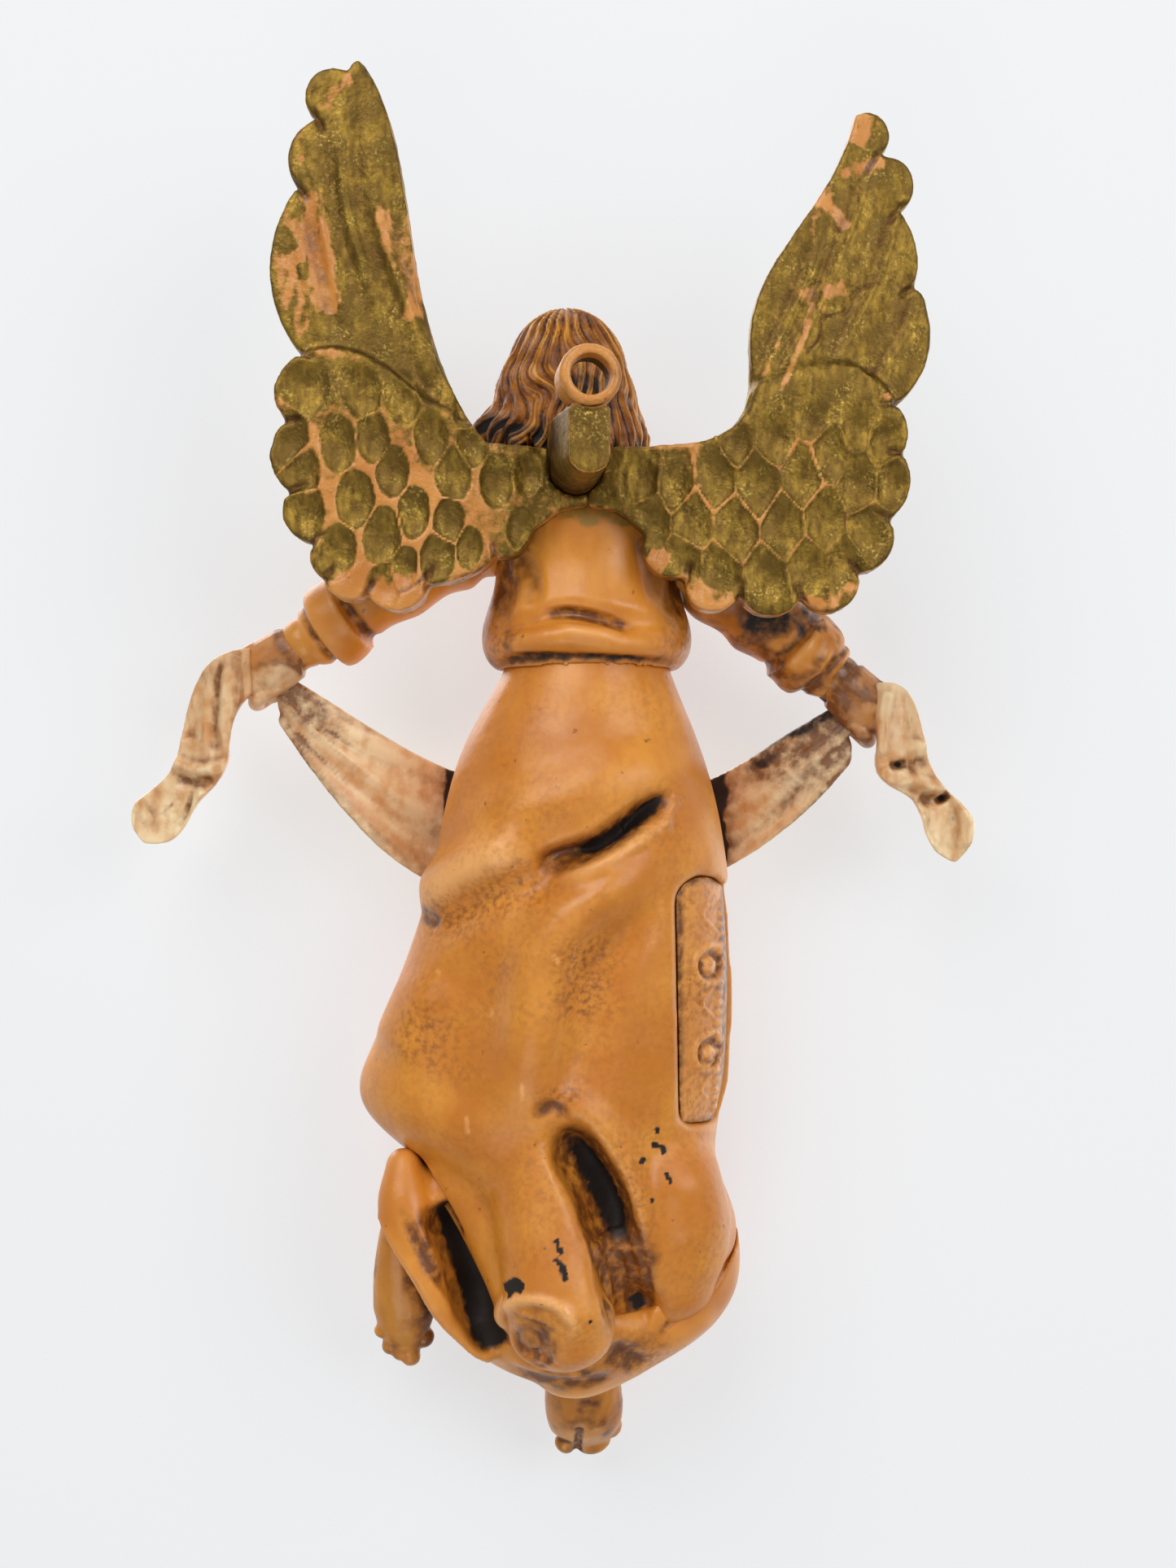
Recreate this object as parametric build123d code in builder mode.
from build123d import *
import os
from math import cos, radians, sin

# A hand-painted resin angel that hangs upright from a ring on its back.
# Millimetres, +Z up, the face looks along -Y, +X is the angel's own left side.
# The origin is the centre of the hanging ring's bore.

os.makedirs("parts", exist_ok=True)

# ---- driving dimensions -------------------------------------------------
RING_OUTER = 3.4          # hanging ring, outside radius
RING_BORE = 2.2           # hanging ring, bore radius
RING_LENGTH = 5.0         # hanging ring, length along its bore
RING_BREAK = 0.4          # chamfer on the ring's outer edges
HANGER_LEAN = 8.0         # degrees that the ring and its post turn towards -X
POST_WIDTH = 6.0          # at the back; the post tapers towards its painted end
POST_TAPER = 3.0          # degrees
POST_TOP = -2.6           # z, just below the bore
POST_BASE = -11.2         # z
POST_END = 1.5            # y of the post's painted end face
POST_ROOT = -12.0         # y where the post's shoulder stops, clear of the hair
POST_GAP = 0.5            # gap between the post and the wings round it

WING_THICK = 4.4
PRIMARY_STEP = 1.2        # long feathers lie this far below the covert feathers

PEG_FIT = 0.1             # radial clearance of every peg in its socket
SEAM = 0.05               # half of the glue line between the two wings

PANEL_INSET = 0.9         # depth of the side panel below the robe's surface
PANEL_FIT = 0.12          # clearance round the side panel

RIBBON_THICK = 1.5

SHEET_LOW = -70.0         # z range and depth that holds every wing and ribbon
SHEET_HIGH = 50.0
SHEET_DEEP = 60.0

# Horizontal sections: height z, then the limits -x, +x, front y, back y.
BODICE_RINGS = [
    (-4.6, -3.6, 4.6, -23.6, -16.4),
    (-7.0, -7.4, 8.0, -25.4, -14.0),
    (-10.0, -10.4, 10.6, -27.0, -12.6),
    (-15.0, -11.2, 11.2, -29.0, -12.0),
    (-20.5, -10.8, 11.1, -30.0, -11.8),
    (-23.6, -11.6, 12.0, -31.0, -10.9),
    (-26.6, -12.3, 12.6, -31.6, -10.4),
    (-29.0, -11.8, 12.1, -31.2, -10.8),
    (-30.6, -10.0, 10.2, -29.8, -12.0),
]
ROBE_RINGS = [
    (-27.5, -9.0, 9.2, -28.6, -12.6),
    (-31.0, -9.9, 10.2, -29.2, -11.8),
    (-42.6, -14.3, 15.9, -32.6, -9.4),
    (-55.0, -16.7, 18.7, -35.6, -8.2),
    (-66.6, -17.5, 22.4, -37.6, -8.2),
    (-76.0, -17.3, 26.2, -38.4, -8.8),
    (-82.0, -16.4, 27.0, -38.4, -9.4),
    (-88.4, -15.3, 20.6, -37.8, -10.2),
    (-94.6, -17.4, 16.0, -37.2, -11.0),
    (-100.4, -17.0, 13.4, -36.4, -12.4),
    (-105.0, -11.0, 11.0, -34.0, -15.0),
]
GOWN_RINGS = [
    (-87.0, -13.0, 20.5, -36.0, -14.0),
    (-91.0, -15.4, 23.6, -37.4, -13.6),
    (-95.4, -17.6, 25.0, -38.2, -13.4),
    (-100.2, -18.4, 22.8, -38.6, -13.6),
    (-106.0, -17.4, 18.4, -38.0, -14.6),
    (-111.0, -12.9, 15.0, -36.4, -16.6),
    (-114.6, -6.6, 9.6, -34.6, -19.0),
    (-116.6, -2.0, 5.4, -32.4, -21.6),
]
SPIGOT_RINGS = [
    (-80.0, -9.0, 11.0, -32.0, -18.0),
    (-108.0, -9.0, 11.0, -32.0, -18.0),
]
HEAD_RINGS = [
    (-5.8, -5.6, 10.2, -21.6, -14.6),
    (-3.6, -7.5, 13.0, -25.0, -13.6),
    (-0.6, -7.0, 12.6, -27.2, -12.8),
    (2.6, -5.6, 10.4, -27.6, -12.4),
    (5.6, -5.0, 9.4, -27.2, -12.8),
    (8.2, -3.9, 7.6, -26.0, -14.2),
    (9.9, -1.9, 5.5, -24.0, -16.2),
    (10.7, 0.6, 3.0, -21.4, -18.8),
]
NECK_RINGS = [
    (-6.0, -2.4, 4.4, -23.4, -16.6),
    (-1.0, -2.4, 5.2, -24.6, -16.8),
]

# The raised leg under the robe: centre, direction and the two radii.
LEG_RINGS = [
    ((6.0, -24.0, -62.0), (0.0, 0.10, -1.0), 11.0, 11.0),
    ((4.6, -18.4, -84.0), (0.0, 0.24, -1.0), 9.4, 8.6),
    ((3.4, -13.6, -96.0), (0.0, 0.40, -1.0), 7.0, 6.6),
    ((2.8, -9.4, -105.6), (0.0, 0.62, -1.0), 6.2, 4.6),
]

# Wing outlines as (x, z): each scallop runs notch, tip, notch, tip ... notch.
WINGS = {
    "left": {
        "lead": [(11.3, -5.6), (16.3, 2.9), (20.0, 18.1), (23.9, 35.0), (25.2, 37.4)],
        "feathers": [
            (25.2, 37.4), (26.2, 37.8), (26.6, 36.2), (28.9, 37.0), (30.7, 31.2),
            (32.9, 29.6), (32.8, 23.5), (36.0, 14.6), (32.3, 4.5), (35.0, 1.6),
            (34.0, -3.0), (35.7, -6.6), (33.5, -11.0), (34.0, -14.6), (30.8, -16.7),
            (30.9, -19.6), (29.7, -20.9), (27.6, -23.1), (24.8, -22.6), (21.4, -24.4),
            (17.9, -21.4), (14.6, -20.8), (10.4, -18.3), (7.6, -17.6), (6.3, -15.2),
        ],
        "root": [(3.0, -12.8), (SEAM, -12.4), (SEAM, -6.0)],
        "step": [(32.3, 4.5), (27.0, 5.0), (20.0, 1.0), (12.0, -3.6)],
        "edge": 50.0,
        "plan": [(-1.0, -12.2), (10.0, -11.2), (24.0, -10.4), (42.0, -10.8)],
    },
    "right": {
        "lead": [(-11.7, -5.6), (-17.6, -1.6), (-18.4, 8.0), (-26.9, 23.7), (-30.2, 31.6)],
        "feathers": [
            (-30.2, 31.6), (-31.6, 31.9), (-32.3, 26.8), (-34.9, 26.7), (-35.1, 20.7),
            (-36.9, 17.6), (-36.9, 12.4), (-38.7, 7.6), (-34.6, -1.2), (-35.9, -3.8),
            (-35.4, -6.8), (-36.3, -10.0), (-33.9, -14.1), (-34.2, -17.6), (-30.4, -20.1),
            (-29.2, -23.8), (-24.0, -22.9), (-20.8, -25.0), (-17.1, -22.5), (-14.0, -24.5),
            (-11.1, -20.4), (-8.4, -20.4), (-6.5, -15.6),
        ],
        "root": [(-3.4, -13.0), (-SEAM, -12.4), (-SEAM, -6.0)],
        "step": [(-34.6, -1.2), (-29.0, 3.4), (-22.0, 2.4), (-12.0, -3.6)],
        "edge": -50.0,
        "plan": [(1.0, -12.2), (-10.0, -11.2), (-24.0, -10.4), (-44.0, -10.8)],
    },
}

# Arms as centre lines: shoulder, cuff, wrist and fist.
ARMS = {
    "left": {
        "shoulder": (9.6, -21.0, -13.0),
        "reach": (1.0, -0.1, -0.4),
        "elbow": (20.6, -23.0, -18.2),
        "cuff": (30.2, -24.2, -24.4),
        "wrist": (36.4, -25.4, -28.2),
        "fist": (39.2, -25.8, -30.2),
    },
    "right": {
        "shoulder": (-9.6, -21.0, -15.0),
        "reach": (-1.0, -0.1, -0.6),
        "elbow": (-18.6, -23.0, -22.2),
        "cuff": (-26.2, -24.2, -28.4),
        "wrist": (-30.6, -25.4, -32.2),
        "fist": (-33.6, -25.8, -34.6),
    },
}
SHOULDER_R = 5.2
ELBOW_R = 4.8
SLEEVE_R = 4.2
CUFF_R = 5.0
CUFF_LENGTH = 4.2
CUFF_ROUND = 1.5
FOREARM_R = 2.9
WRIST_R = 2.5
FIST_SIZE = (7.6, 6.4, 7.4)
FIST_ROUND = 2.4
FOREARM_PEG_R = 1.8
FOREARM_PEG_DEPTH = 3.0
FIST_PEG_R = 1.2
FIST_PEG_DEPTH = 1.8

# The banner's plan line (x, y) and its front outline (x, z), left hand to right.
BANNER_PLAN = [(37.6, -26.2), (27.0, -28.6), (14.0, -34.8), (0.6, -38.2)]
BANNER_PLAN += [(-12.0, -35.2), (-23.0, -29.2), (-32.0, -26.6)]
BANNER_UPPER = [(37.6, -30.0), (27.8, -36.2), (17.9, -41.8), (0.4, -45.6)]
BANNER_UPPER += [(-15.6, -43.1), (-24.5, -37.7), (-32.0, -33.4)]
BANNER_LOWER = [(-35.0, -37.0), (-25.3, -48.4), (-17.0, -54.5), (0.8, -59.4)]
BANNER_LOWER += [(19.7, -56.0), (33.5, -42.3), (39.4, -33.6)]

# The two loose ends: outline (x, z) and plan line (x, y).
TAILS = {
    "left": {
        "outer": [
            (40.4, -27.6), (46.8, -31.2), (48.9, -37.7),
            (50.4, -42.4), (54.3, -46.4), (53.4, -51.0),
        ],
        "inner": [
            (53.4, -51.0), (49.6, -50.2), (46.9, -46.4),
            (43.6, -42.6), (42.6, -38.0), (40.4, -33.0),
        ],
        "plan": [(39.0, -25.4), (45.0, -23.6), (49.0, -25.2), (55.0, -23.4)],
    },
    "right": {
        "outer": [
            (-34.4, -31.8), (-38.6, -33.0), (-40.6, -38.6),
            (-42.0, -42.8), (-45.8, -47.4), (-44.4, -53.4),
        ],
        "inner": [
            (-44.4, -53.4), (-40.8, -50.0), (-39.2, -46.0),
            (-34.9, -43.0), (-34.6, -39.0), (-34.4, -36.4),
        ],
        "plan": [(-33.2, -25.4), (-37.0, -23.8), (-41.0, -25.6), (-46.6, -23.6)],
    },
}

# Feet: centre, direction and the two radii, from the ankle to the toes.
FEET = {
    "left": [
        ((22.6, -25.6, -98.0), (0.0, -0.1, -1.0), 2.4, 2.4),
        ((23.0, -26.2, -104.0), (-0.1, -0.1, -1.0), 3.0, 2.8),
        ((22.4, -27.2, -109.6), (-0.3, -0.2, -1.0), 4.2, 2.6),
        ((21.0, -28.0, -113.8), (-0.3, -0.2, -1.0), 3.2, 1.5),
    ],
    "right": [
        ((1.0, -27.6, -114.0), (0.0, -0.3, -1.0), 3.6, 3.4),
        ((0.8, -29.6, -119.6), (0.0, -0.4, -1.0), 4.6, 3.2),
        ((0.4, -31.8, -124.0), (0.0, -0.4, -1.0), 4.7, 2.6),
        ((0.4, -33.2, -127.2), (0.0, -0.4, -1.0), 3.4, 1.5),
    ],
}

PANEL_TOP = -54.6         # z
PANEL_FOOT = -84.2        # z
PANEL_INNER = -9.9        # x of the recess's inner edge at its top
PANEL_SPLAY = 0.6         # the inner edge leans out this far towards the foot
PANEL_ARCH = 2.0          # height of the rounded top
PANEL_FALL = 1.4          # the top has dropped this far at the robe's edge
PANEL_REACH = 6.0         # width as far as the robe's edge
PANEL_BEYOND = 10.0       # width past the robe's surface
PANEL_DEEP = -24.0        # y of the recess's floor
ROSETTES = [(-13.8, -15.7, -65.0), (-13.8, -16.9, -75.6)]
ROSETTE_OUT = (-0.77, 0.64, 0.0)
ROSETTE_R = 1.3
ROSETTE_THICK = 0.9

# Pegs: centre on the seam, direction that the peg points, radius, depth each way.
PEGS = {
    "neck": ((1.2, -20.0, -4.6), (0.0, 0.0, -1.0), 2.2, 4.0),
    "hanger": ((1.7, -12.4, -8.6), (0.14, -1.0, 0.0), 1.9, 4.0),
    "left_wing": ((7.0, -12.0, -11.0), (0.0, -1.0, 0.0), 1.5, 3.0),
    "right_wing": ((-7.0, -12.0, -11.0), (0.0, -1.0, 0.0), 1.5, 3.0),
    "left_sleeve": ((10.8, -21.1, -13.6), (-1.0, 0.1, 0.3), 2.0, 4.0),
    "right_sleeve": ((-10.8, -21.1, -16.4), (1.0, 0.1, 0.5), 2.0, 4.0),
    "left_foot": ((22.6, -25.6, -98.6), (0.0, 0.1, 1.0), 1.3, 3.0),
    "right_foot": ((1.0, -27.4, -115.4), (0.0, 0.3, 1.0), 2.0, 4.0),
}


# ---- shared shapes ------------------------------------------------------
def ring_body(rings, inset=0.0):
    """A smooth solid through elliptical horizontal sections."""
    with BuildPart() as body:
        for z, low_x, high_x, front, back in rings:
            with BuildSketch(Plane.XY.offset(z)):
                with Locations(((low_x + high_x) / 2, (front + back) / 2)):
                    Ellipse((high_x - low_x) / 2 - inset, (back - front) / 2 - inset)
        loft()
    return body.part


def limb_body(rings):
    """A smooth solid through elliptical sections square to a bent centre line."""
    with BuildPart() as body:
        for centre, direction, wide, deep in rings:
            with BuildSketch(Plane(origin=centre, x_dir=(1, 0, 0), z_dir=direction)):
                Ellipse(wide, deep)
        loft()
    return body.part


def peg_body(name, fit=0.0):
    """The round peg of one joint; with a fit it is the socket that takes it."""
    centre, direction, radius, depth = PEGS[name]
    with BuildPart(Plane(origin=centre, z_dir=direction)) as peg:
        Cylinder(radius + fit, 2 * (depth + fit))
    return peg.part


def between(start, end):
    """A plane at start that looks at end."""
    return Plane(origin=start, z_dir=Vector(*end) - Vector(*start))


def sheet_body(plan, thick, outline):
    """A sheet that follows a plan line (x, y), cut to an outline seen from the front."""
    with BuildPart() as sheet:
        with BuildSketch(Plane.XY.offset(SHEET_LOW)):
            with BuildLine():
                Spline(*plan)
            trace(line_width=thick)
        extrude(amount=SHEET_HIGH - SHEET_LOW)
        extrude(outline, amount=SHEET_DEEP, mode=Mode.INTERSECT)
    return sheet.part


def ribbon_outline(first, second):
    """The front outline of a ribbon between two smooth edges."""
    with BuildSketch(Plane.XZ) as outline:
        with BuildLine():
            Spline(*first)
            if first[-1] != second[0]:
                Line(first[-1], second[0])
            Spline(*second)
            Line(second[-1], first[0])
        make_face()
    return outline.sketch


def wing_outline(lead, feathers, root):
    """A wing seen from the front: smooth leading edge, scalloped feathers, straight root."""
    with BuildSketch(Plane.XZ) as outline:
        with BuildLine():
            Spline(*lead)
            for notch, tip, end in zip(feathers[0::2], feathers[1::2], feathers[2::2]):
                ThreePointArc(notch, tip, end)
            Polyline(feathers[-1], *root, lead[0])
        make_face()
    return outline.sketch


def above(step, edge):
    """Everything above a wing's step line, out to a far vertical edge."""
    with BuildSketch(Plane.XZ) as outline:
        with BuildLine():
            Spline(*step)
            Polyline(
                step[-1],
                (step[-1][0], SHEET_HIGH),
                (edge, SHEET_HIGH),
                (edge, step[0][1]),
                step[0],
            )
        make_face()
    return outline.sketch


def panel_outline(fit):
    """The side recess's front outline; with a fit it is the panel that drops into it."""
    inner = PANEL_INNER - fit
    top = PANEL_TOP - fit
    shoulder = (inner, PANEL_TOP - PANEL_ARCH)
    crest = (PANEL_INNER - 2.4, top)
    brow = (PANEL_INNER - PANEL_REACH, top - PANEL_FALL)
    heel = (inner - PANEL_SPLAY, PANEL_FOOT + 1.0)
    with BuildSketch(Plane.XZ) as outline:
        with BuildLine():
            Line(heel, shoulder)
            ThreePointArc(shoulder, crest, brow)
            Polyline(
                brow,
                (PANEL_INNER - PANEL_BEYOND, top - PANEL_FALL - 1.0),
                (PANEL_INNER - PANEL_BEYOND, PANEL_FOOT + fit),
                (PANEL_INNER - PANEL_REACH, PANEL_FOOT + fit),
                heel,
            )
        make_face()
    return outline.sketch


def shifted(plan, distance):
    """The same plan line moved along Y."""
    return [(x, y + distance) for x, y in plan]


# ---- body ---------------------------------------------------------------
robe = ring_body(ROBE_RINGS)
leg = limb_body(LEG_RINGS)

with BuildPart() as bodice:
    add(ring_body(BODICE_RINGS))
    add(ring_body(ROBE_RINGS, inset=-PEG_FIT), mode=Mode.SUBTRACT)
    for name in ("neck", "hanger", "left_wing", "right_wing", "left_sleeve", "right_sleeve"):
        add(peg_body(name, fit=PEG_FIT), mode=Mode.SUBTRACT)

with BuildPart() as head:
    add(ring_body(HEAD_RINGS))
    add(ring_body(NECK_RINGS))
    add(bodice.part, mode=Mode.SUBTRACT)
    add(peg_body("neck"))

with BuildPart() as recess:
    extrude(panel_outline(0.0), amount=-PANEL_DEEP)

with BuildPart() as skirt:
    add(robe)
    add(leg)
    add(recess.part, mode=Mode.SUBTRACT)
    add(ring_body(SPIGOT_RINGS, inset=-PEG_FIT), mode=Mode.SUBTRACT)

with BuildPart() as side_panel:
    add(ring_body(ROBE_RINGS, inset=PANEL_INSET))
    extrude(panel_outline(PANEL_FIT), amount=-PANEL_DEEP - PANEL_FIT, mode=Mode.INTERSECT)
    for centre in ROSETTES:
        with Locations(Plane(origin=centre, z_dir=ROSETTE_OUT)):
            Cylinder(ROSETTE_R, ROSETTE_THICK)

with BuildPart() as under_gown:
    add(ring_body(GOWN_RINGS))
    add(robe, mode=Mode.SUBTRACT)
    add(leg, mode=Mode.SUBTRACT)
    add(ring_body(SPIGOT_RINGS))
    for name in ("left_foot", "right_foot"):
        add(peg_body(name, fit=PEG_FIT), mode=Mode.SUBTRACT)

body_pieces = {
    "bodice": bodice,
    "head": head,
    "skirt": skirt,
    "side_panel": side_panel,
    "under_gown": under_gown,
}
for name, piece in body_pieces.items():
    piece.part.label = name
    export_step(piece.part, f"parts/{name}.step")

# ---- hanger -------------------------------------------------------------
hanger_plane = Plane(
    origin=(0, 0, 0),
    x_dir=(-cos(radians(HANGER_LEAN)), -sin(radians(HANGER_LEAN)), 0),
    z_dir=(-sin(radians(HANGER_LEAN)), cos(radians(HANGER_LEAN)), 0),
)


def post_body(root=POST_ROOT, gap=0.0):
    """The post with its round base; with a gap it is the clearance round it."""
    half = POST_WIDTH / 2 + gap
    with BuildPart() as post:
        with BuildSketch(hanger_plane.offset(root)):
            with BuildLine():
                Polyline(
                    (-half, POST_BASE + half),
                    (-half, POST_TOP),
                    (half, POST_TOP),
                    (half, POST_BASE + half),
                )
                ThreePointArc((half, POST_BASE + half), (0, POST_BASE - gap), (-half, POST_BASE + half))
            make_face()
        extrude(amount=POST_END - root, taper=POST_TAPER)
    return post.part


with BuildPart(hanger_plane) as ring_blank:
    Cylinder(RING_OUTER, RING_LENGTH)
    chamfer(ring_blank.edges(), RING_BREAK)

with BuildPart() as hanger:
    add(post_body())
    add(bodice.part, mode=Mode.SUBTRACT)
    add(peg_body("hanger"))
    add(ring_blank.part)
    with Locations(hanger_plane):
        Cylinder(RING_BORE, 2 * RING_LENGTH, mode=Mode.SUBTRACT)
hanger.part.label = "hanger"
export_step(hanger.part, "parts/hanger.step")

# ---- wings --------------------------------------------------------------
for side, wing in WINGS.items():
    outline = wing_outline(wing["lead"], wing["feathers"], wing["root"])
    lowered = shifted(wing["plan"], WING_THICK - PRIMARY_STEP)
    with BuildPart() as wing_part:
        add(sheet_body(wing["plan"], WING_THICK, outline))
        add(sheet_body(lowered, WING_THICK, above(wing["step"], wing["edge"])), mode=Mode.SUBTRACT)
        add(bodice.part, mode=Mode.SUBTRACT)
        add(head.part, mode=Mode.SUBTRACT)
        add(post_body(POST_ROOT - WING_THICK, POST_GAP), mode=Mode.SUBTRACT)
        add(peg_body(f"{side}_wing"))
    wing_part.part.label = f"{side}_wing"
    export_step(wing_part.part, f"parts/{side}_wing.step")

# ---- arms ---------------------------------------------------------------
banner_outline = ribbon_outline(BANNER_UPPER, BANNER_LOWER)
with BuildPart() as banner:
    add(sheet_body(BANNER_PLAN, RIBBON_THICK, banner_outline))
    add(skirt.part, mode=Mode.SUBTRACT)
banner.part.label = "banner"
export_step(banner.part, "parts/banner.step")

for side, arm in ARMS.items():
    sleeve_peg = f"{side}_sleeve"
    forearm_peg = f"{side}_forearm"
    fist_peg = f"{side}_fist"
    cuff_plane = between(arm["cuff"], arm["wrist"])
    cuff_face = cuff_plane.offset(CUFF_LENGTH / 2)
    fist_plane = between(arm["fist"], arm["wrist"])
    PEGS[forearm_peg] = (cuff_face.origin, -cuff_plane.z_dir, FOREARM_PEG_R, FOREARM_PEG_DEPTH)
    PEGS[fist_peg] = (arm["wrist"], -fist_plane.z_dir, FIST_PEG_R, FIST_PEG_DEPTH)

    with BuildPart() as sleeve:
        add(limb_body([
            (arm["shoulder"], arm["reach"], SHOULDER_R, SHOULDER_R),
            (arm["elbow"], cuff_plane.z_dir, ELBOW_R, ELBOW_R),
            (arm["cuff"], cuff_plane.z_dir, SLEEVE_R, SLEEVE_R),
        ]))
        with Locations(cuff_plane):
            Cylinder(CUFF_R, CUFF_LENGTH)
        cuff_axis = Axis(cuff_plane.origin, cuff_plane.z_dir)
        cuff_rim = sleeve.edges().filter_by(GeomType.CIRCLE).sort_by(cuff_axis)[-1]
        fillet(cuff_rim, CUFF_ROUND)
        add(bodice.part, mode=Mode.SUBTRACT)
        add(peg_body(sleeve_peg))
        add(peg_body(forearm_peg, fit=PEG_FIT), mode=Mode.SUBTRACT)
    sleeve.part.label = f"{side}_sleeve"
    export_step(sleeve.part, f"parts/{side}_sleeve.step")

    with BuildPart() as forearm:
        add(limb_body([
            (cuff_face.origin, cuff_plane.z_dir, FOREARM_R, FOREARM_R),
            (arm["wrist"], -fist_plane.z_dir, WRIST_R, WRIST_R),
        ]))
        add(peg_body(forearm_peg))
        add(peg_body(fist_peg))
        add(banner.part, mode=Mode.SUBTRACT)
    forearm.part.label = f"{side}_forearm"
    export_step(forearm.part, f"parts/{side}_forearm.step")

    tail_outline = ribbon_outline(TAILS[side]["outer"], TAILS[side]["inner"])
    with BuildPart() as tail:
        add(sheet_body(TAILS[side]["plan"], RIBBON_THICK, tail_outline))
    tail.part.label = f"{side}_banner_tail"
    export_step(tail.part, f"parts/{side}_banner_tail.step")

    with BuildPart() as hand:
        with Locations(fist_plane):
            Box(*FIST_SIZE)
        fillet(hand.edges(), FIST_ROUND)
        add(forearm.part, mode=Mode.SUBTRACT)
        add(peg_body(fist_peg, fit=PEG_FIT), mode=Mode.SUBTRACT)
        add(banner.part, mode=Mode.SUBTRACT)
        add(tail.part, mode=Mode.SUBTRACT)
    hand.part.label = f"{side}_hand"
    export_step(hand.part, f"parts/{side}_hand.step")

# ---- feet ---------------------------------------------------------------
for side, rings in FEET.items():
    with BuildPart() as foot:
        add(limb_body(rings))
        add(under_gown.part, mode=Mode.SUBTRACT)
        add(peg_body(f"{side}_foot"))
    foot.part.label = f"{side}_foot"
    export_step(foot.part, f"parts/{side}_foot.step")
